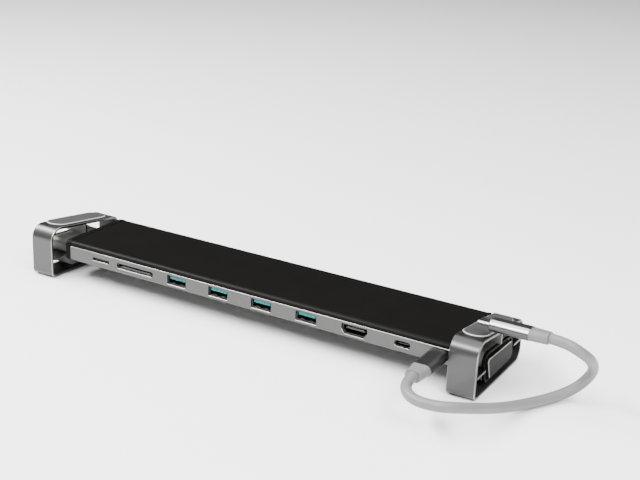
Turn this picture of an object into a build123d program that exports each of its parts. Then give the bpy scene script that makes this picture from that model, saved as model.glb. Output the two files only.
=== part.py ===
from build123d import *
import math
import os

# Laptop docking station: a slim port bar carried by two ring-shaped feet that slide on rails.
# Millimetres. +X runs along the bar, -Y is the side with the ports, +Z is up.
# The origin lies on the table, midway between the two feet.

# ---- Ring feet
FOOT_INNER_X = 134.3      # inner plane of each ring, from the origin
FOOT_WIDTH = 16.0         # ring width along X
FOOT_OUTER_X = FOOT_INNER_X + FOOT_WIDTH
FOOT_DEPTH = 64.0         # ring size along Y
FOOT_BASE_Z = 0.4         # underside of the metal, above the table
FOOT_FRONT_Z = 33.2       # top line of the ring, carried out to its front face
FOOT_REAR_Z = 25.0        # the same top line at the rear face
FOOT_WALL = 1.4
RIM_BEVEL = 0.35
FOOT_RADII = (3.7, 6.8, 6.0, 8.2)   # bottom front, bottom rear, top rear, top front
TOP_SLOPE = math.degrees(math.atan2(FOOT_FRONT_Z - FOOT_REAR_Z, FOOT_DEPTH))
WEB_TOP_Z = 13.4
WEB_THICK = 1.2
RIB_Y = (-0.4, 0.8)        # upright rib between the hub and the top of the ring
LINER_THICK = 0.3
SOLE_SIZE = (11.0, 50.0)
SOLE_THICK = 1.0
PAD_SIZE = (14.0, 48.0)
PAD_THICK = 1.8
PAD_PROUD = 1.1

# ---- Hub in the middle of each ring, and the rail that it carries
# Outlines are (y, z) corners in the order bottom front, bottom rear, top rear, top front.
HUB_CORNERS = [(-16.2, 4.4), (20.2, 4.6), (20.0, 19.2), (-20.8, 22.1)]
HUB_RADII = (4.0, 4.5, 4.5, 5.0)
HUB_GROOVE = 1.0          # depth of the slots that take the web
HUB_LINE_Z = 19.4         # fine groove round the hub
END_FRAME_THICK = 1.5
END_FRAME_LIP = 0.4       # how far the frame stands out round the hub
END_FRAME_SUNK = 0.9      # depth of the frame inside the ring
END_FRAME_X = FOOT_OUTER_X - END_FRAME_SUNK
END_PAD_CORNERS = [(-13.8, 6.9), (17.4, 7.3), (16.0, 17.7), (-18.4, 19.0)]
END_PAD_RADII = (1.8, 3.2, 2.8, 1.6)
END_PAD_PROUD = 0.7
RAIL_Y = (-8.0, 16.0)
RAIL_Z = (15.4, 18.6)
RAIL_END_X = 95.5         # inner end of each rail at rest
RAIL_IN_HUB = 12.0
SCREW_X = FOOT_INNER_X + 6.5
SCREW_Y = (5.0, 12.0)
HEAD_RADIUS = 1.6
SCREW_TIP_Z = 11.0
GAP = 0.3                 # running clearance

# ---- Port bar
BAR_LEFT_X = -127.3
BAR_RIGHT_X = 134.0
CAP_LEFT = 3.8
CAP_RIGHT = 1.5
BODY_X = (BAR_LEFT_X + CAP_LEFT, BAR_RIGHT_X - CAP_RIGHT)
BAR_HALF_Y = 27.0
FACE_Z = (14.6, 23.1)     # flat port face
BAR_BASE_Z = 13.2
BAR_TOP_Z = 26.0
COVER_EDGE = 2.8          # rounding of the cover's long edges
BODY_WALL = 1.6
FLOOR_WALL = 1.2
COVER_WALL = 1.4
GUIDE_X = (88.5, 122.5)   # left guide; the right one runs on to the end cap
GUIDE_RIGHT_X = 132.2
SPRING_SLOT = 16.0
BOARD_Z = (14.7, 15.9)
BOARD_SCREWS = ((-50, 20), (78, 20))
CAN_PLACES = ((-25, 15), (-15, 15), (30, 16), (55, -2), (66, 14), (66, 4))

# ---- Ports: centre height, centre along X, opening width and height
PORT_Z = 18.85
SMALL_CARD = (-99.1, 12.8, 1.9)
CARD_SLOT = (-72.9, 27.2, 3.3)
USB_A_X = [-41.85 + 29.5 * i for i in range(4)]
USB_A_SIZE = (13.4, 5.7)
VIDEO_PORT = (77.0, 15.9, 5.8)
USB_C = (105.8, 9.4, 3.4)
HOST_PORT_X = 127.0
USB_A_DEPTH = 14.0
VIDEO_DEPTH = 12.0
CARD_DEPTH = 15.0
SMALL_CARD_DEPTH = 14.0
USB_C_DEPTH = 8.5
SHELL_WALL = 0.45
THIN_SHELL_WALL = 0.25
SHELL_FIT = 0.18
PORT_BEVEL = 0.14
FACE_RECESS = 1.1

# ---- Lead with a plug at each end
PLUG_SIZE = (11.4, 6.5)
PLUG_BODY = 21.0
PLUG_RELIEF = 9.5
RELIEF_END = (8.8, 6.2)
PLUG_TIP = 6.4
CORD_DIAMETER = 5.6
LAPTOP_PLUG_START = (150.5, -17.0, 39.0)
CORD_START = (HOST_PORT_X, -BAR_HALF_Y - 0.05 - PLUG_BODY - PLUG_RELIEF, PORT_Z)
CORD_END = (LAPTOP_PLUG_START[0] + PLUG_BODY + PLUG_RELIEF, *LAPTOP_PLUG_START[1:])
CORD_POINTS = [
    CORD_START, (127, -67.5, PORT_Z), (135, -77, 17.5), (147.5, -77, 17),
    (158, -65, 14), (167, -44, 7.5), (175, -23.5, 3.5), (185.5, -4, 3),
    (193, 4, 7.5), (199, 4.5, 16.5), (200.5, -2.5, 25), (199.5, -12.5, 32.5),
    (189.5, -17, 39), CORD_END,
]


def block(x, y, z):
    """A box between pairs of limits."""
    size = (x[1] - x[0], y[1] - y[0], z[1] - z[0])
    middle = ((x[0] + x[1]) / 2, (y[0] + y[1]) / 2, (z[0] + z[1]) / 2)
    return Pos(*middle) * Box(*size)


def across(face, x0, x1):
    """A face drawn as (y, z), carried along X."""
    return extrude(Plane.YZ.offset(x0) * face, amount=x1 - x0)


def inward(face, y0, y1):
    """A face drawn as (x, z), carried along +Y from y0 to y1."""
    plane = Plane(origin=(0, y0, 0), x_dir=(1, 0, 0), z_dir=(0, -1, 0))
    return extrude(plane * face, amount=y0 - y1)


def rounded(points, radii):
    """A closed outline with its own rounding at each corner."""
    return make_face(FilletPolyline(*points, radius=list(radii), close=True))


def panel(y, z, radius):
    """A rounded rectangle between pairs of limits."""
    return Pos((y[0] + y[1]) / 2, (z[0] + z[1]) / 2) * RectangleRounded(y[1] - y[0], z[1] - z[0], radius)


def on_side(part, side):
    """A right-hand foot part, or its mirror image on the left."""
    return part if side > 0 else part.mirror(Plane.YZ)


# ---------------------------------------------------------------- ring feet
def foot_outline():
    half = FOOT_DEPTH / 2
    corners = [(-half, FOOT_BASE_Z), (half, FOOT_BASE_Z), (half, FOOT_REAR_Z), (-half, FOOT_FRONT_Z)]
    return rounded(corners, FOOT_RADII)


def hub_face(grow=0.0):
    return offset(rounded(HUB_CORNERS, HUB_RADII), amount=grow) if grow else rounded(HUB_CORNERS, HUB_RADII)


def web_face(grow=0.0):
    half = FOOT_DEPTH / 2
    strip = panel((-half, half), (WEB_TOP_Z - WEB_THICK - grow, WEB_TOP_Z + grow), 0.1)
    return strip - hub_face(-HUB_GROOVE)


def rib_face(grow=0.0):
    tall = panel((RIB_Y[0] - grow, RIB_Y[1] + grow), (WEB_TOP_Z, FOOT_FRONT_Z), 0.02)
    return (tall & offset(foot_outline(), amount=-FOOT_WALL / 2)) - hub_face(0.05)


def top_plane():
    """The sloping top face of the ring: local X is along the foot's width."""
    middle_z = (FOOT_FRONT_Z + FOOT_REAR_Z) / 2
    middle = ((FOOT_INNER_X + FOOT_OUTER_X) / 2, 0, middle_z)
    slope = math.radians(TOP_SLOPE)
    return Plane(origin=middle, x_dir=(1, 0, 0), z_dir=(0, math.sin(slope), math.cos(slope)))


def slot_on(plane, size, low, high):
    """An upright slab with round ends, drawn on a plane, its long side across the width."""
    shape = plane.offset(low) * (Rot(0, 0, 90) * SlotOverall(size[1], size[0]))
    return extrude(shape, amount=high - low)


def sole(extra=0.0):
    centre = Plane(origin=((FOOT_INNER_X + FOOT_OUTER_X) / 2, 0, 0))
    size = (SOLE_SIZE[0] + extra, SOLE_SIZE[1] + extra)
    return slot_on(centre, size, 0, SOLE_THICK)


def top_pad():
    pad = slot_on(top_plane(), PAD_SIZE, PAD_PROUD - PAD_THICK, PAD_PROUD)
    crown = pad.faces().sort_by(Axis((0, 0, 0), (0, 0.13, 1)))[-1]
    return fillet(crown.edges(), 0.6)


def foot_ring():
    outline = foot_outline()
    hollow = offset(outline, amount=-FOOT_WALL)
    ring = across(outline, FOOT_INNER_X, FOOT_OUTER_X)
    rim = ring.faces().sort_by(Axis.X)[-1].edges() + ring.faces().sort_by(Axis.X)[0].edges()
    ring = chamfer(rim, RIM_BEVEL) - across(hollow, FOOT_INNER_X - 1, FOOT_OUTER_X + 1)
    ring += across(web_face() & offset(outline, amount=-FOOT_WALL / 2), FOOT_INNER_X, FOOT_OUTER_X)
    ring += across(rib_face(), FOOT_INNER_X, FOOT_OUTER_X)
    ring -= slot_on(top_plane(), PAD_SIZE, PAD_PROUD - PAD_THICK, PAD_PROUD)
    ring -= sole()
    seat = hub_face(END_FRAME_LIP + 0.03)
    ring -= across(seat, END_FRAME_X - END_FRAME_THICK - 0.03, FOOT_OUTER_X + 1)
    return ring


def foot_liner():
    """Dark lining of the cell above the web and of the cell below it."""
    outline = foot_outline()
    outside = offset(outline, amount=-FOOT_WALL - 0.02)
    lining = outside - offset(outline, amount=-FOOT_WALL - LINER_THICK)
    half = FOOT_DEPTH / 2
    lining -= panel((-half, half), (WEB_TOP_Z - WEB_THICK - 0.05, WEB_TOP_Z + 0.05), 0.02)
    lining -= rib_face(0.05)
    return across(lining, FOOT_INNER_X + 0.5, FOOT_OUTER_X - 0.5)


def hub_block():
    hub = across(hub_face(), FOOT_INNER_X + 0.3, END_FRAME_X - END_FRAME_THICK)
    hub -= across(web_face(0.05), FOOT_INNER_X, FOOT_OUTER_X)
    rows = (-FOOT_DEPTH / 2, FOOT_DEPTH / 2)
    shadow_line = panel(rows, (WEB_TOP_Z, WEB_TOP_Z + 1.4), 0.05) - hub_face(-0.7)
    fine_line = panel((rows[0], 0), (HUB_LINE_Z, HUB_LINE_Z + 0.35), 0.05) - hub_face(-0.5)
    hub -= across(shadow_line, FOOT_INNER_X, FOOT_OUTER_X)
    hub -= across(fine_line, FOOT_INNER_X, FOOT_OUTER_X)
    hub -= block((FOOT_INNER_X, FOOT_INNER_X + RAIL_IN_HUB), RAIL_Y, RAIL_Z)
    for y in SCREW_Y:
        hub -= Pos(SCREW_X, y, RAIL_Z[0]) * Cylinder(0.9, 2 * (RAIL_Z[0] - SCREW_TIP_Z) + 0.4)
        hub -= Pos(SCREW_X, y, RAIL_Z[1] + 5) * Cylinder(HEAD_RADIUS + 0.15, 10)
    return hub


def rail_screws(side):
    """Two screws, sunk in the hub, that hold the rail down by their heads."""
    screws = []
    shank_length = RAIL_Z[1] - SCREW_TIP_Z
    for y in SCREW_Y:
        head = Pos(SCREW_X, y, RAIL_Z[1] + 0.47) * Cylinder(HEAD_RADIUS, 0.9)
        shank = Pos(SCREW_X, y, RAIL_Z[1] + 0.1 - shank_length / 2) * Cylinder(0.8, shank_length)
        slot = Pos(SCREW_X, y, RAIL_Z[1] + 0.9) * Box(2.4, 0.4, 0.8)
        screws.append(on_side(head + shank - slot, side))
    return Compound(children=screws)


def slide_rail():
    rail = block((RAIL_END_X, FOOT_INNER_X + RAIL_IN_HUB - 0.05), RAIL_Y, RAIL_Z)
    rail = chamfer(rail.faces().sort_by(Axis.X)[0].edges(), 0.5)
    for y in SCREW_Y:
        rail -= Pos(SCREW_X, y, 0) * Cylinder(0.9, 60)
    middle_y = (RAIL_Y[0] + RAIL_Y[1]) / 2
    window = Plane(origin=((RAIL_END_X + FOOT_INNER_X) / 2 - 2, middle_y, RAIL_Z[0] - 1))
    rail -= extrude(window * SlotOverall(24, 9), amount=8)
    for i in range(5):
        rail -= Pos(RAIL_END_X + 5 + 6 * i, RAIL_Y[1] + 0.3, RAIL_Z[0]) * Cylinder(0.9, 20)
    return rail


def end_frame():
    frame = across(hub_face(END_FRAME_LIP), END_FRAME_X - END_FRAME_THICK, END_FRAME_X)
    frame -= across(hub_face(END_FRAME_LIP - 1.5), END_FRAME_X - 0.7, END_FRAME_X + 1)
    return chamfer(frame.faces().sort_by(Axis.X)[-1].outer_wire().edges(), 0.3)



def end_pad():
    face = rounded(END_PAD_CORNERS, END_PAD_RADII)
    pad = across(face, END_FRAME_X - 0.7, FOOT_OUTER_X + END_PAD_PROUD)
    return chamfer(pad.faces().sort_by(Axis.X)[-1].edges(), 0.4)


# ---------------------------------------------------------------- port bar
def usb_a_face(inset):
    return RectangleRounded(USB_A_SIZE[0] - 2 * inset, USB_A_SIZE[1] - 2 * inset, max(0.4 - inset, 0.1))


def card_face(inset):
    return RectangleRounded(CARD_SLOT[1] - 2 * inset, CARD_SLOT[2] - 2 * inset, max(1.3 - inset, 0.1))


def small_card_face(inset):
    return RectangleRounded(SMALL_CARD[1] - 2 * inset, SMALL_CARD[2] - 2 * inset, max(0.6 - inset, 0.1))


def usb_c_face(inset):
    return SlotOverall(USB_C[1] - 2 * inset, USB_C[2] - 2 * inset)


def port_plane(x, y):
    return Plane(origin=(x, y, PORT_Z), x_dir=(1, 0, 0), z_dir=(0, -1, 0))


def openings():
    """Every port opening as (x centre, function that draws its face about its own centre)."""
    found = [(SMALL_CARD[0], small_card_face), (CARD_SLOT[0], card_face), (VIDEO_PORT[0], video_face),
             (USB_C[0], usb_c_face), (HOST_PORT_X, usb_c_face)]
    found += [(x, usb_a_face) for x in USB_A_X]
    return found


def video_face(shrink):
    half, low = VIDEO_PORT[1] / 2 - shrink, VIDEO_PORT[2] / 2 - shrink
    points = [(-half, low), (-half, -low * 0.15), (-half * 0.74, -low),
              (half * 0.74, -low), (half, -low * 0.15), (half, low)]
    return rounded(points, [0.6] * len(points))


def bar_body():
    low, high = FACE_Z
    half = BAR_HALF_Y
    outer = [(-half, low), (-half + 2.4, BAR_BASE_Z), (half - 2.4, BAR_BASE_Z), (half, low),
             (half, high), (-half, high)]
    inner = [(-half + BODY_WALL, BAR_BASE_Z + FLOOR_WALL), (half - BODY_WALL, BAR_BASE_Z + FLOOR_WALL),
             (half - BODY_WALL, high + 1), (-half + BODY_WALL, high + 1)]
    section = rounded(outer, [1.2, 1.0, 1.0, 1.2, 0.45, 0.45]) - rounded(inner, [0.8, 0.8, 0.1, 0.1])
    body = across(section, *BODY_X)
    for x, face in openings():
        body -= inward(Pos(x, PORT_Z) * face(0), -half - 1, -half + BODY_WALL + 0.2)
        mouth = port_plane(x, -half - 0.01) * face(-PORT_BEVEL)
        body -= loft([mouth, port_plane(x, PORT_BEVEL - half) * face(0)])
    return body


def top_cover():
    half = BAR_HALF_Y - 0.15
    low = FACE_Z[1]
    outer = [(-half, low), (half, low), (half, BAR_TOP_Z), (-half, BAR_TOP_Z)]
    inner = [(-half + BODY_WALL, low - 1), (half - BODY_WALL, low - 1),
             (half - BODY_WALL, BAR_TOP_Z - COVER_WALL), (-half + BODY_WALL, BAR_TOP_Z - COVER_WALL)]
    section = rounded(outer, [0.1, 0.1, COVER_EDGE, COVER_EDGE]) - rounded(inner, [0.1, 0.1, 1.2, 1.2])
    return across(section, *BODY_X)


def end_cap(x0, x1, outward):
    """A dark end cap with a window for the rail; a lip enters the body."""
    half = BAR_HALF_Y + 0.2
    low = BAR_BASE_Z - 0.2
    outer = [(-half, low + 1.6), (-half + 2.6, low), (half - 2.6, low), (half, low + 1.6),
             (half, BAR_TOP_Z + 0.2), (-half, BAR_TOP_Z + 0.2)]
    cap = across(rounded(outer, [1.2, 1.0, 1.0, 1.2, 3.2, 3.2]), x0, x1)
    window = ((x0 - 1, x1 + 1), (RAIL_Y[0] - GAP, RAIL_Y[1] + GAP), (RAIL_Z[0] - GAP, RAIL_Z[1] + GAP))
    cap -= block(*window)
    outer_face = cap.faces().sort_by(Axis.X)[-1 if outward > 0 else 0]
    return chamfer(outer_face.outer_wire().edges(), 0.4)


def rail_guide(side):
    """A plastic channel round the rail, screwed to the floor of the body."""
    x = (GUIDE_X[0], GUIDE_RIGHT_X if side > 0 else GUIDE_X[1])
    guide = block(x, (RAIL_Y[0] - 2, RAIL_Y[1] + 2), (BAR_BASE_Z + FLOOR_WALL, RAIL_Z[1] + 1.6))
    guide -= block((x[0] - 1, x[1] + 1), (RAIL_Y[0] - GAP, RAIL_Y[1] + GAP), (RAIL_Z[0] - GAP, RAIL_Z[1] + GAP))
    slot_x = (x[0] + 4, x[0] + 4 + SPRING_SLOT)
    guide -= block(slot_x, (RAIL_Y[1], RAIL_Y[1] + 3), (RAIL_Z[0] - GAP, RAIL_Z[1] + 2))
    return on_side(guide, side)


def detent_spring(side):
    """A bent leaf that presses on the notched edge of the rail."""
    y = RAIL_Y[1] + GAP + 0.05
    x = GUIDE_X[0] + 4.2
    points = [(x, y + 1.4), (x + 3, y + 1.4), (x + 7, y + 0.25), (x + 11, y + 1.4), (x + 15, y + 1.4)]
    path = FilletPolyline(*points, radius=[2.0] * 3)
    leaf = make_face(offset(path, amount=0.15, side=Side.BOTH))
    spring = extrude(Pos(0, 0, RAIL_Z[0] + 0.3) * leaf, amount=2.6)
    return on_side(spring, side)


def main_board():
    front = -BAR_HALF_Y + BODY_WALL + 0.3
    board = block((-112, 131.5), (front, -11), BOARD_Z)
    board += block((-57, 84), (-12, 24), BOARD_Z)
    for x, y in BOARD_SCREWS:
        board -= Pos(x, y, BOARD_Z[0]) * Cylinder(1.2, 6)
    return board


def board_screws():
    screws = []
    for x, y in BOARD_SCREWS:
        head = Pos(x, y, BOARD_Z[1] + 0.5) * Cylinder(2.0, 1.0)
        shank = Pos(x, y, BOARD_Z[1] - 0.75) * Cylinder(1.0, 1.5)
        screws.append(head + shank)
    return Compound(children=screws)


def chip(x, y, size, height):
    low = BOARD_Z[1]
    return block((x - size / 2, x + size / 2), (y - size / 2, y + size / 2), (low, low + height))


def capacitors():
    cans = []
    for x, y in CAN_PLACES:
        cans.append(Pos(x, y, BOARD_Z[1] + 1.6) * Cylinder(2.2, 3.2))
    return Compound(children=cans)


# ---------------------------------------------------------------- sockets
def socket_shell(x, face, depth, wall=SHELL_WALL):
    """A folded metal shell behind its opening, closed at the back."""
    front = -BAR_HALF_Y + FACE_RECESS
    shell = inward(Pos(x, PORT_Z) * face(SHELL_FIT), front, front + depth)
    return shell - inward(Pos(x, PORT_Z) * face(SHELL_FIT + wall), front - 1, front + depth - SHELL_WALL)


def tongue(x, width, z, depth, start):
    """The insulated contact tongue of a socket, held by the shell's back wall."""
    front = -BAR_HALF_Y + FACE_RECESS
    back = front + depth - SHELL_WALL
    y = (front + start, back)
    piece = block((x - width / 2, x + width / 2), y, (PORT_Z + z[0], PORT_Z + z[1]))
    return chamfer(piece.faces().sort_by(Axis.Y)[0].edges(), 0.2)


def card_tray(x, width, z, depth):
    front = -BAR_HALF_Y + FACE_RECESS
    y = (front + 0.4, front + depth - SHELL_WALL)
    return block((x - width / 2, x + width / 2), y, (PORT_Z + z[0], PORT_Z + z[1]))


# ---------------------------------------------------------------- lead
def plug_parts():
    """Body, strain relief and metal tip of a plug, drawn along +Z from the body's front face."""
    body = extrude(RectangleRounded(*PLUG_SIZE, PLUG_SIZE[1] / 2 - 0.05), amount=PLUG_BODY)
    body = chamfer(body.faces().sort_by(Axis.Z)[0].edges(), 0.4)
    wide = RectangleRounded(PLUG_SIZE[0] - 0.5, PLUG_SIZE[1] - 0.5, PLUG_SIZE[1] / 2 - 0.3)
    narrow = RectangleRounded(*RELIEF_END, RELIEF_END[1] / 2 - 0.1)
    relief = loft([Pos(0, 0, PLUG_BODY) * wide, Pos(0, 0, PLUG_BODY + PLUG_RELIEF) * narrow])
    tip = extrude(RectangleRounded(8.3, 2.4, 1.15), amount=-PLUG_TIP)
    tip -= Pos(0, 0, -PLUG_TIP) * extrude(RectangleRounded(6.6, 0.8, 0.3), amount=5.0)
    return {"plug": body, "strain_relief": relief, "plug_tip": tip}


def host_plug(name):
    place = Plane(origin=(HOST_PORT_X, -BAR_HALF_Y - 0.05, PORT_Z), x_dir=(1, 0, 0), z_dir=(0, -1, 0))
    return place.location * plug_parts()[name]


def laptop_plug(name):
    slope = math.radians(TOP_SLOPE)
    flat = (0, math.cos(slope), -math.sin(slope))
    place = Plane(origin=LAPTOP_PLUG_START, x_dir=flat, z_dir=(1, 0, 0))
    return place.location * plug_parts()[name]


def cord_radii(points):
    """Each arc takes 0.45 of the shorter of its two runs."""
    radii = []
    for before, here, after in zip(points, points[1:], points[2:]):
        run_in = Vector(here) - Vector(before)
        run_out = Vector(after) - Vector(here)
        half_turn = math.radians(run_in.get_angle(run_out)) / 2
        radii.append(0.45 * min(run_in.length, run_out.length) / math.tan(half_turn))
    return radii


def lead_cord():
    radii = cord_radii(CORD_POINTS)
    path = FilletPolyline(*CORD_POINTS, radius=radii)
    section = Plane(origin=path @ 0, z_dir=path % 0) * Circle(CORD_DIAMETER / 2)
    tube = sweep(section, path=path)
    area = math.pi * CORD_DIAMETER ** 2 / 4
    print("cord radii", [round(r, 1) for r in radii])
    print("cord length", round(path.length, 1), "volume ratio", round(tube.volume / (area * path.length), 4))
    return tube


def build():
    parts = {}
    for name, side in (("left", -1), ("right", 1)):
        parts[name + "_foot_ring"] = on_side(foot_ring(), side)
        parts[name + "_foot_liner"] = on_side(foot_liner(), side)
        parts[name + "_foot_sole"] = on_side(sole(), side)
        parts[name + "_laptop_pad"] = on_side(top_pad(), side)
        parts[name + "_hub"] = on_side(hub_block(), side)
        parts[name + "_slide_rail"] = on_side(slide_rail(), side)
        parts[name + "_rail_screws"] = rail_screws(side)
        parts[name + "_end_frame"] = on_side(end_frame(), side)
        parts[name + "_end_pad"] = on_side(end_pad(), side)
        parts[name + "_rail_guide"] = rail_guide(side)
        parts[name + "_detent_spring"] = detent_spring(side)
    parts["bar_body"] = bar_body()
    parts["top_cover"] = top_cover()
    parts["left_end_cap"] = end_cap(BAR_LEFT_X, BODY_X[0], -1)
    parts["right_end_cap"] = end_cap(BODY_X[1], BAR_RIGHT_X, 1)
    parts["main_board"] = main_board()
    parts["board_screws"] = board_screws()
    parts["hub_controller_chip"] = chip(10, 4, 12, 1.2)
    parts["video_converter_chip"] = chip(52, 12, 10, 1.2)
    parts["card_reader_chip"] = chip(-38, 4, 7, 1.0)
    parts["capacitors"] = capacitors()
    for i, x in enumerate(USB_A_X, start=1):
        parts[f"usb_a_shell_{i}"] = socket_shell(x, usb_a_face, USB_A_DEPTH)
        parts[f"usb_a_tongue_{i}"] = tongue(x, 11.0, (0.25, 2.1), USB_A_DEPTH, 0.3)
    parts["video_port_shell"] = socket_shell(VIDEO_PORT[0], video_face, VIDEO_DEPTH)
    parts["video_port_tongue"] = tongue(VIDEO_PORT[0], 11.6, (-0.1, 0.9), VIDEO_DEPTH, 0.5)
    parts["card_slot_shell"] = socket_shell(CARD_SLOT[0], card_face, CARD_DEPTH)
    parts["card_slot_tray"] = card_tray(CARD_SLOT[0], 22.0, (-0.98, -0.3), CARD_DEPTH)
    parts["small_card_shell"] = socket_shell(SMALL_CARD[0], small_card_face, SMALL_CARD_DEPTH, THIN_SHELL_WALL)
    parts["small_card_tray"] = card_tray(SMALL_CARD[0], 10.8, (-0.5, -0.1), SMALL_CARD_DEPTH)
    parts["usb_c_shell"] = socket_shell(USB_C[0], usb_c_face, USB_C_DEPTH, THIN_SHELL_WALL)
    parts["host_port_shell"] = socket_shell(HOST_PORT_X, usb_c_face, USB_C_DEPTH, THIN_SHELL_WALL)
    parts["usb_c_tongue"] = tongue(USB_C[0], 6.4, (-0.35, 0.35), USB_C_DEPTH, 0.4)
    for piece in ("plug", "strain_relief", "plug_tip"):
        parts["host_" + piece] = host_plug(piece)
        parts["laptop_" + piece] = laptop_plug(piece)
    parts["lead_cord"] = lead_cord()
    return parts


os.makedirs("parts", exist_ok=True)
for node, shape in build().items():
    shape.label = node
    export_step(shape, f"parts/{node}.step")
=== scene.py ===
import bpy
import math
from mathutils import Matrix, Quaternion, Vector


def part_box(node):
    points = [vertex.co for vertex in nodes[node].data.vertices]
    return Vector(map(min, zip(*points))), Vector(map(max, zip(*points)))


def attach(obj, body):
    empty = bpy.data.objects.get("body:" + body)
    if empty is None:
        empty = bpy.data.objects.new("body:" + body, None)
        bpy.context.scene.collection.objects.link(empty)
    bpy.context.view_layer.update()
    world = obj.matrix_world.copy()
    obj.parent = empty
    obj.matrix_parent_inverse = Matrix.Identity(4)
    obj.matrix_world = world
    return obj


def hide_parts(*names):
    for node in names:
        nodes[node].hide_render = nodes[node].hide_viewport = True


# Laptop docking station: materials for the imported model, a cord, socket contacts, lights, camera.
# Metres throughout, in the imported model's frame, unless a name or a comment says millimetres.

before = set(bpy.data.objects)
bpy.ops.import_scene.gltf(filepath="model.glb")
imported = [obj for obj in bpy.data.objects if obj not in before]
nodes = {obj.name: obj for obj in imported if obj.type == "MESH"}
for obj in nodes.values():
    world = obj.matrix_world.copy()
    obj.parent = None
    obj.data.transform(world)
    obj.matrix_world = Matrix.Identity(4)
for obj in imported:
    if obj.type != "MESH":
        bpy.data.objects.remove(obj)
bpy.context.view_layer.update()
MM = 0.001
X_AXIS, Y_AXIS, Z_AXIS = range(3)
TO_SIDE = (1, 0, 0)
TO_REAR = (0, 1, 0)
UPWARD = (0, 0, 1)


def add_object(name, data):
    """A new object in the scene that shows a mesh, a curve, a light or a camera."""
    obj = bpy.data.objects.new(name, data)
    bpy.context.collection.objects.link(obj)
    return obj


def aim_at(obj, place, target, roll=0.0):
    """Put a camera or a light at a place and point it at a target."""
    obj.location = place
    obj.rotation_mode = "QUATERNION"
    turn = (Vector(target) - Vector(place)).to_track_quat("-Z", "Y")
    obj.rotation_quaternion = turn @ Quaternion(UPWARD, roll)


# ------------------------------------------------------------------ camera
CAMERA_AT = (0.3373, -0.5258, 0.2699)
CAMERA_AIM = (0.0213, 0.0294, 0.0426)
CAMERA_ROLL = math.radians(2.65)
FOCAL_LENGTH_MM = 64.4
SENSOR_WIDTH_MM = 36.0

camera_data = bpy.data.cameras.new("camera")
camera_data.lens = FOCAL_LENGTH_MM
camera_data.sensor_width = SENSOR_WIDTH_MM
camera_data.clip_start = 0.01
camera = add_object("camera", camera_data)
aim_at(camera, CAMERA_AT, CAMERA_AIM, CAMERA_ROLL)
bpy.context.scene.camera = camera


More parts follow.
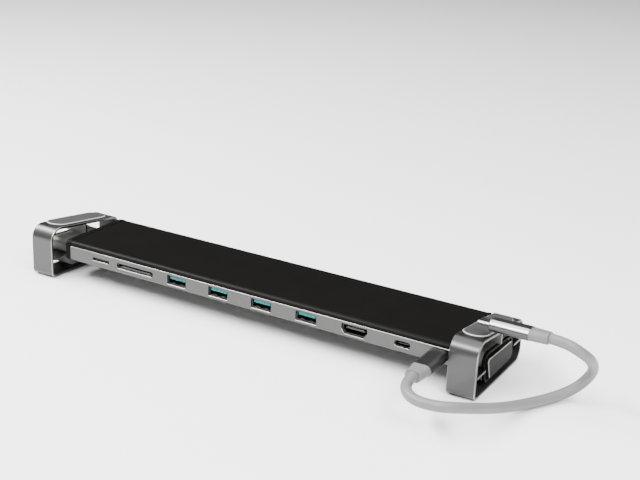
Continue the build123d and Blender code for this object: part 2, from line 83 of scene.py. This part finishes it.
# ------------------------------------------------------------------ materials
class Recipe:
    """A material under construction: its nodes, its links and its principled shader."""

    def __init__(self, name):
        self.material = bpy.data.materials.new(name)
        self.material.use_nodes = True
        self.tree = self.material.node_tree
        self.shader = self.tree.nodes["Principled BSDF"]
        self.coords = self.tree.nodes.new("ShaderNodeTexCoord").outputs["Object"]

    def put(self, socket, value):
        self.shader.inputs[socket].default_value = value

    def link(self, source, target):
        self.tree.links.new(source, target)

    def noise(self, scale, detail=3.0, rough=0.55, stretch=(1, 1, 1)):
        place = self.tree.nodes.new("ShaderNodeMapping")
        place.inputs["Scale"].default_value = stretch
        self.link(self.coords, place.inputs["Vector"])
        node = self.tree.nodes.new("ShaderNodeTexNoise")
        node.inputs["Scale"].default_value = scale
        node.inputs["Detail"].default_value = detail
        node.inputs["Roughness"].default_value = rough
        self.link(place.outputs["Vector"], node.inputs["Vector"])
        return node.outputs["Fac"]

    def cells(self, scale):
        node = self.tree.nodes.new("ShaderNodeTexVoronoi")
        node.inputs["Scale"].default_value = scale
        self.link(self.coords, node.inputs["Vector"])
        return node.outputs["Distance"]

    def ramp(self, value, stops):
        node = self.tree.nodes.new("ShaderNodeValToRGB")
        while len(node.color_ramp.elements) < len(stops):
            node.color_ramp.elements.new(0.5)
        for element, (place, colour) in zip(node.color_ramp.elements, stops):
            element.position = place
            element.color = (*colour, 1)
        self.link(value, node.inputs["Fac"])
        return node.outputs["Color"]

    def span(self, value, low, high, out_low=0, out_high=1):
        """One range of numbers carried over to another, held at its ends."""
        node = self.tree.nodes.new("ShaderNodeMapRange")
        numbers = {"From Min": low, "From Max": high, "To Min": out_low, "To Max": out_high}
        for key, number in numbers.items():
            node.inputs[key].default_value = number
        self.link(value, node.inputs["Value"])
        return node.outputs["Result"]

    def math(self, kind, a, b=None):
        node = self.tree.nodes.new("ShaderNodeMath")
        node.operation = kind
        for socket, value in zip(node.inputs, (a, b)):
            if isinstance(value, (int, float)):
                socket.default_value = value
            elif value is not None:
                self.link(value, socket)
        return node.outputs[0]

    def position(self, axis):
        """The place along one of the object's own axes."""
        split = self.tree.nodes.new("ShaderNodeSeparateXYZ")
        self.link(self.coords, split.inputs[0])
        return split.outputs[axis]

    def facing(self, axis, either_way=True):
        """How far the surface faces along an axis, from 0 to 1."""
        geometry = self.tree.nodes.new("ShaderNodeNewGeometry")
        dot = self.tree.nodes.new("ShaderNodeVectorMath")
        dot.operation = "DOT_PRODUCT"
        dot.inputs[1].default_value = axis
        self.link(geometry.outputs["Normal"], dot.inputs[0])
        return self.math("ABSOLUTE" if either_way else "MAXIMUM", dot.outputs["Value"], 0.0)

    def near_middle(self, axis, reach):
        """1 within a short reach of the plane through the object's origin, 0 beyond it."""
        return self.span(self.math("ABSOLUTE", self.position(axis)), reach, reach * 1.2, 1, 0)

    def below(self, axis, level):
        """1 below a level along an axis, 0 above it."""
        return self.math("LESS_THAN", self.position(axis), level)

    def band(self, value, low, high, soft=0.04):
        """1 between two limits, 0 outside them."""
        rise = self.span(value, low - soft, low + soft)
        fall = self.span(value, high - soft, high + soft, 1, 0)
        return self.math("MULTIPLY", rise, fall)

    def mix(self, factor, a, b):
        node = self.tree.nodes.new("ShaderNodeMix")
        node.data_type = "RGBA"
        if isinstance(factor, (int, float)):
            node.inputs[0].default_value = factor
        else:
            self.link(factor, node.inputs[0])
        for socket, value in zip((node.inputs[6], node.inputs[7]), (a, b)):
            if isinstance(value, tuple):
                socket.default_value = (*value, 1)
            else:
                self.link(value, socket)
        return node.outputs[2]

    def colour(self, value):
        self.link(value, self.shader.inputs["Base Color"])

    def roughness(self, value):
        self.link(value, self.shader.inputs["Roughness"])

    def bump(self, height, distance, strength=1.0):
        node = self.tree.nodes.new("ShaderNodeBump")
        node.inputs["Distance"].default_value = distance
        node.inputs["Strength"].default_value = strength
        self.link(height, node.inputs["Height"])
        self.link(node.outputs["Normal"], self.shader.inputs["Normal"])


def grey(level):
    return (level, level, level)


def shades(base, spread):
    """Three tones about a base colour, as ramp stops."""
    dark = tuple(max(c * (1 - spread), 0) for c in base)
    light = tuple(min(c * (1 + spread), 1) for c in base)
    return [(0.25, dark), (0.5, base), (0.75, light)]


RIB_REACH = 1.2 * MM        # past both faces of the ring's upright rib, from the middle plane
RIB_GREY = grey(0.14)
# Painted shade for the floors of the port openings.
PAINTED_SHADE = grey(0.018)


def blasted_metal(name, base, rough, edge_highlight=None, edge_highlight_axis=TO_SIDE, edge_highlight_span=(0.45, 0.9),
                  either_way=True, rib=False, shade_level=None):
    """Bead-blasted anodised aluminium.

    edge_highlight is a painted highlight: a lighter colour on the faces that point along
    edge_highlight_axis by as much as edge_highlight_span says, such as the chamfer round an end
    face, as if they caught the light. rib gives the ring's upright rib a matt finish.
    shade_level is a height: the level faces below it, such as the floors of the port openings,
    get painted shade, a near-black colour.
    """
    m = Recipe(name)
    m.put("Metallic", 1.0)
    cloud = m.noise(scale=45, detail=4)
    grain = m.noise(scale=5200, detail=2, rough=0.7)
    tone = m.ramp(cloud, shades(base, 0.05))
    speck = m.ramp(grain, shades(base, 0.11))
    body = m.mix(0.45, tone, speck)
    # Painted highlight: the edge faces along the given axis are made lighter, as if catching the
    # light.
    if edge_highlight:
        edge = m.band(m.facing(edge_highlight_axis, either_way), *edge_highlight_span)
        body = m.mix(edge, body, edge_highlight)
    if rib:
        upright = m.span(m.facing(TO_REAR), 0.7, 0.9)
        inside = m.math("MULTIPLY", m.near_middle(Y_AXIS, RIB_REACH), upright)
        body = m.mix(inside, body, RIB_GREY)
        m.link(m.math("SUBTRACT", 1.0, inside), m.shader.inputs["Metallic"])
    # Painted shade: the level floors low in the port openings are made dark.
    if shade_level:
        flat = m.span(m.facing(UPWARD, either_way=False), 0.85, 0.95)
        floors = m.math("MULTIPLY", flat, m.below(Z_AXIS, shade_level))
        body = m.mix(floors, body, PAINTED_SHADE)
    m.colour(body)
    m.roughness(m.span(grain, 0.3, 0.7, rough - 0.035, rough + 0.05))
    m.bump(grain, distance=0.00002, strength=0.35)
    return m.material


def plastic(name, base, rough, grain=2600, depth=0.00004, spread=0.12, edge_highlight=None,
            edge_highlight_axis=TO_SIDE, edge_highlight_span=(0.45, 0.92), specular=0.5):
    """Moulded plastic or silicone with a spark-eroded grain, and painted edge highlight as for
    blasted metal.
    """
    m = Recipe(name)
    cloud = m.noise(scale=60, detail=3)
    texture = m.noise(scale=grain, detail=3, rough=0.6)
    body = m.ramp(cloud, shades(base, spread))
    # Painted highlight: the edge faces along the given axis are made lighter, as if catching the
    # light.
    if edge_highlight:
        edge = m.band(m.facing(edge_highlight_axis), *edge_highlight_span)
        body = m.mix(edge, body, edge_highlight)
    m.colour(body)
    m.roughness(m.span(texture, 0.25, 0.75, rough - 0.06, rough + 0.08))
    m.bump(texture, distance=depth, strength=0.5)
    m.put("Specular IOR Level", specular)
    return m.material


def brushed_metal(name, base, rough, along):
    """Rolled or brushed metal, its lines along one axis."""
    m = Recipe(name)
    m.put("Metallic", 1.0)
    stretch = tuple(0.03 if axis == along else 1 for axis in (X_AXIS, Y_AXIS, Z_AXIS))
    lines = m.noise(scale=3800, detail=3, rough=0.6, stretch=stretch)
    m.colour(m.ramp(lines, shades(base, 0.12)))
    m.roughness(m.span(lines, 0.2, 0.8, rough - 0.08, rough + 0.1))
    m.bump(lines, distance=0.00001, strength=0.4)
    return m.material


def circuit_green(name):
    """Solder mask over faint copper tracks."""
    m = Recipe(name)
    tracks = m.cells(scale=420)
    fine = m.noise(scale=300, detail=4)
    mask = m.ramp(tracks, [(0.42, (0.012, 0.07, 0.03)), (0.5, (0.03, 0.16, 0.07))])
    m.colour(m.mix(0.3, mask, m.ramp(fine, shades((0.015, 0.1, 0.045), 0.4))))
    m.roughness(m.span(fine, 0.3, 0.7, 0.28, 0.42))
    m.bump(tracks, distance=0.00003, strength=0.3)
    return m.material


def pale_floor(name):
    """A nearly white, matt table."""
    m = Recipe(name)
    cloud = m.noise(scale=3, detail=2)
    grain = m.noise(scale=900, detail=2)
    m.colour(m.ramp(cloud, [(0.3, grey(0.93)), (0.7, grey(0.95))]))
    m.roughness(m.span(grain, 0.3, 0.7, 0.75, 0.85))
    m.put("Specular IOR Level", 0.2)
    return m.material


# The ring's lighter side edges are a painted highlight on its chamfers.
ring_metal = blasted_metal("ring_aluminium", grey(0.08), 0.33, edge_highlight=(0.3, 0.3, 0.29), rib=True)
# The bar's lighter upward-facing edges and port bevels are a painted highlight; the port floors get
# painted shade.
bar_metal = blasted_metal("bar_aluminium", (0.083, 0.083, 0.082), 0.32, edge_highlight=(0.28, 0.28, 0.275),
                          edge_highlight_axis=UPWARD, edge_highlight_span=(0.16, 0.97), either_way=False, shade_level=0.0225)
# The plug's lighter rear-facing chamfered ends are a painted highlight.
plug_dark = blasted_metal("plug_dark_aluminium", grey(0.16), 0.3, edge_highlight=grey(0.5),
                          edge_highlight_axis=TO_REAR)
# The bright band on the plug body's upper front is a painted highlight.
plug_silver = blasted_metal("plug_silver_aluminium", grey(0.095), 0.34, edge_highlight=grey(0.62),
                            edge_highlight_axis=(0, -0.6, 0.8), edge_highlight_span=(0.86, 1.1), either_way=False)

cover_black = plastic("cover_satin_black", (0.0033, 0.003, 0.0027), 0.42, grain=3200,
                      depth=0.00002, specular=0.06)
frame_black = plastic("moulded_black", (0.003, 0.003, 0.0028), 0.5, specular=0.04)
liner_black = plastic("liner_black", (0.008, 0.008, 0.0075), 0.5, specular=0.35)
hub_grey = plastic("hub_grey", (0.095, 0.095, 0.087), 0.42, grain=2200, depth=0.00002)
# The end pad's lighter chamfer is a painted highlight.
end_pad_grey = plastic("end_pad_grey", (0.004, 0.004, 0.0037), 0.55, edge_highlight=(0.26, 0.26, 0.25),
                       specular=0.1)
# The pad's lighter fillet is a painted highlight; its dark grey is partly its own colour and partly
# painted shadow of a laptop resting on it.
laptop_pad_grey_and_shadow = plastic("silicone_grey_and_shadow", grey(0.029), 0.5, grain=1800, edge_highlight=grey(0.4),
                          edge_highlight_axis=(0, 0.127, 0.992), edge_highlight_span=(0.25, 0.96))
sole_rubber = plastic("sole_rubber", grey(0.018), 0.7, grain=1400, depth=0.00006)
tongue_teal = plastic("tongue_teal", (0.004, 0.155, 0.16), 0.45, grain=2400, depth=0.00001,
                      spread=0.06, specular=0.2)
tongue_black = plastic("tongue_black", grey(0.015), 0.45)
tray_grey = plastic("tray_grey", grey(0.06), 0.4)
chip_black = plastic("chip_epoxy", (0.02, 0.02, 0.022), 0.55, grain=1500)
relief_grey = plastic("relief_grey", grey(0.13), 0.5, grain=1800, depth=0.00002, spread=0.05)
cord_grey = plastic("cord_jacket_grey", (0.145, 0.145, 0.143), 0.42, grain=2200, depth=0.00002,
                    spread=0.05)
board_green = circuit_green("board_green")

rail_metal = brushed_metal("rail_aluminium", grey(0.16), 0.35, along=X_AXIS)
spring_steel = brushed_metal("spring_steel", (0.6, 0.6, 0.58), 0.28, along=X_AXIS)
screw_steel = brushed_metal("screw_steel", (0.32, 0.32, 0.31), 0.3, along=Y_AXIS)
# The socket metal is darkened well below nickel to paint the shade inside the port openings.
socket_metal_and_shade = brushed_metal("socket_nickel_and_shade", grey(0.095), 0.34, along=Y_AXIS)
contact_metal = brushed_metal("contact_plating", (0.2, 0.19, 0.16), 0.25, along=Y_AXIS)
can_metal = brushed_metal("can_aluminium", grey(0.75), 0.3, along=Z_AXIS)
tip_metal = brushed_metal("tip_nickel", (0.55, 0.55, 0.53), 0.22, along=Y_AXIS)

LOOKS = {
    "foot_ring": ring_metal, "foot_liner": liner_black, "foot_sole": sole_rubber,
    "laptop_pad": laptop_pad_grey_and_shadow, "hub": hub_grey, "slide_rail": rail_metal,
    "rail_screws": screw_steel, "end_frame": frame_black, "end_pad": end_pad_grey,
    "rail_guide": frame_black, "detent_spring": spring_steel, "end_cap": frame_black,
    "bar_body": bar_metal, "top_cover": cover_black, "main_board": board_green,
    "board_screws": screw_steel, "chip": chip_black, "capacitors": can_metal,
    "shell": socket_metal_and_shade, "tray": tray_grey, "usb_a_tongue": tongue_teal,
    "video_port_tongue": tongue_black, "usb_c_tongue": tongue_black,
    "host_plug": plug_dark, "laptop_plug": plug_silver, "plug_tip": tip_metal,
    "strain_relief": relief_grey, "lead_cord": cord_grey,
}


def look_for(node):
    """The look of the longest key that the node's name holds."""
    keys = [key for key in LOOKS if key in node]
    return LOOKS[max(keys, key=len)]


for name, obj in nodes.items():
    for material_slot in obj.material_slots:
        material_slot.material = look_for(name)


# ------------------------------------------------------------------ socket contacts
BAR_FACES = [(0, 2, 3, 1), (4, 5, 7, 6), (0, 1, 5, 4), (2, 6, 7, 3), (0, 4, 6, 2), (1, 3, 7, 5)]
FINGER_BEVEL = 0.04 * MM


def bars(name, boxes, material):
    """Several small metal bars, each given by its lowest and highest corner, as one piece."""
    vertices, faces = [], []
    for low, high in boxes:
        base = len(vertices)
        vertices += [(x, y, z) for z in (low[2], high[2]) for y in (low[1], high[1])
                     for x in (low[0], high[0])]
        faces += [tuple(base + corner for corner in face) for face in BAR_FACES]
    mesh = bpy.data.meshes.new(name)
    mesh.from_pydata(vertices, [], faces)
    mesh.update()
    mesh.materials.append(material)
    obj = add_object(name, mesh)
    rounding = obj.modifiers.new("rounding", "BEVEL")
    rounding.width = FINGER_BEVEL
    rounding.segments = 2
    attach(obj, "dock")


def fingers(name, piece, count, pitch, width, reach, lift, on_top=True, material=contact_metal):
    """A row of contact fingers side by side along X, on a socket's tongue, tray or shell.

    Millimetres. reach is where they start and end behind the piece's front edge; lift is how far
    their lower and upper sides stand above the piece's top, or above its underside.
    """
    low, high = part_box(piece)
    level = high.z if on_top else low.z
    first = (low.x + high.x) / 2 - pitch * MM * (count - 1) / 2
    half = width * MM / 2
    front, back = (low.y + distance * MM for distance in reach)
    bottom, top = (level + distance * MM for distance in lift)
    middles = [first + pitch * MM * i for i in range(count)]
    bars(name, [((x - half, front, bottom), (x + half, back, top)) for x in middles], material)


for i in range(1, 5):
    fingers(f"usb_a_contacts_{i}", f"usb_a_tongue_{i}", count=4, pitch=2.5, width=1.0,
            reach=(0.4, 8.0), lift=(-0.2, 0.1), on_top=False)
    fingers(f"usb_a_springs_{i}", f"usb_a_shell_{i}", count=2, pitch=5.6, width=2.2,
            reach=(0.6, 7.5), lift=(0.3, 0.9), on_top=False, material=socket_metal_and_shade)
fingers("video_port_contacts", "video_port_tongue", count=10, pitch=1.0, width=0.5,
        reach=(0.2, 7.0), lift=(-0.1, 0.2))
fingers("usb_c_contacts", "usb_c_tongue", count=6, pitch=0.9, width=0.4,
        reach=(0.3, 5.0), lift=(-0.05, 0.08))
fingers("card_slot_contacts", "card_slot_tray", count=9, pitch=2.3, width=0.9,
        reach=(2.0, 9.0), lift=(-0.1, 0.3))
fingers("small_card_contacts", "small_card_tray", count=8, pitch=1.1, width=0.5,
        reach=(2.0, 8.0), lift=(-0.1, 0.2))

# ------------------------------------------------------------------ the lead
CORD_DIAMETER = 0.0056
CORD_ROUTE_MM = [
    (127, -57.55, 18.85), (127, -67.5, 18.85), (135, -77, 17.5), (147.5, -77, 17),
    (158, -65, 14), (167, -44, 7.5), (175, -23.5, 3.5), (185.5, -4, 3), (193, 4, 7.5),
    (199, 4.5, 16.5), (200.5, -2.5, 25), (199.5, -12.5, 32.5), (189.5, -17, 39), (181, -17, 39),
]
cord_curve = bpy.data.curves.new("cord", "CURVE")
cord_curve.dimensions = "3D"
cord_curve.bevel_depth = CORD_DIAMETER / 2
cord_curve.bevel_resolution = 8
cord_curve.resolution_u = 16
cord_curve.use_fill_caps = True
spline = cord_curve.splines.new("NURBS")
spline.points.add(len(CORD_ROUTE_MM) - 1)
for point, place in zip(spline.points, CORD_ROUTE_MM):
    point.co = (place[0] * MM, place[1] * MM, place[2] * MM, 1)
spline.order_u = 3
spline.use_endpoint_u = True
cord_curve.materials.append(cord_grey)
cord = add_object("cord", cord_curve)
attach(cord, "dock")
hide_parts("lead_cord")

# ------------------------------------------------------------------ floor, light, world
FLOOR_HALF = 4.0
FLOOR_CORNERS = [(-FLOOR_HALF, -FLOOR_HALF, 0), (FLOOR_HALF, -FLOOR_HALF, 0),
                 (FLOOR_HALF, FLOOR_HALF, 0), (-FLOOR_HALF, FLOOR_HALF, 0)]
WORLD_COLOUR = (0.9, 0.9, 0.9, 1)
WORLD_STRENGTH = 0.12

floor_mesh = bpy.data.meshes.new("floor")
floor_mesh.from_pydata(FLOOR_CORNERS, [], [(0, 1, 2, 3)])
floor_mesh.materials.append(pale_floor("pale_floor"))
floor = add_object("floor", floor_mesh)


def softbox(name, place, target, size, watts):
    """A rectangular area light that lights the scene but isn't seen by the camera."""
    light = bpy.data.lights.new(name, "AREA")
    light.shape = "RECTANGLE"
    light.size, light.size_y = size
    light.energy = watts
    obj = add_object(name, light)
    aim_at(obj, place, target)
    obj.visible_camera = False


softbox("overhead", place=(0.35, 0.1, 1.6), target=(0.1, 0, 0), size=(2.4, 2.0), watts=58)
softbox("strip", place=(-0.55, -0.36, 0.8), target=(-0.1, 0, 0), size=(1.3, 0.18), watts=38)
softbox("front", place=(-0.3, -1.2, 0.45), target=(0.1, 0, 0.1), size=(2.6, 0.8), watts=5)
softbox("key", place=(0.6, -0.3, 0.55), target=(0.12, -0.05, 0), size=(0.4, 0.4), watts=9)

world = bpy.data.worlds.new("studio")
bpy.context.scene.world = world
world.use_nodes = True
background = world.node_tree.nodes["Background"]
background.inputs["Color"].default_value = WORLD_COLOUR
background.inputs["Strength"].default_value = WORLD_STRENGTH
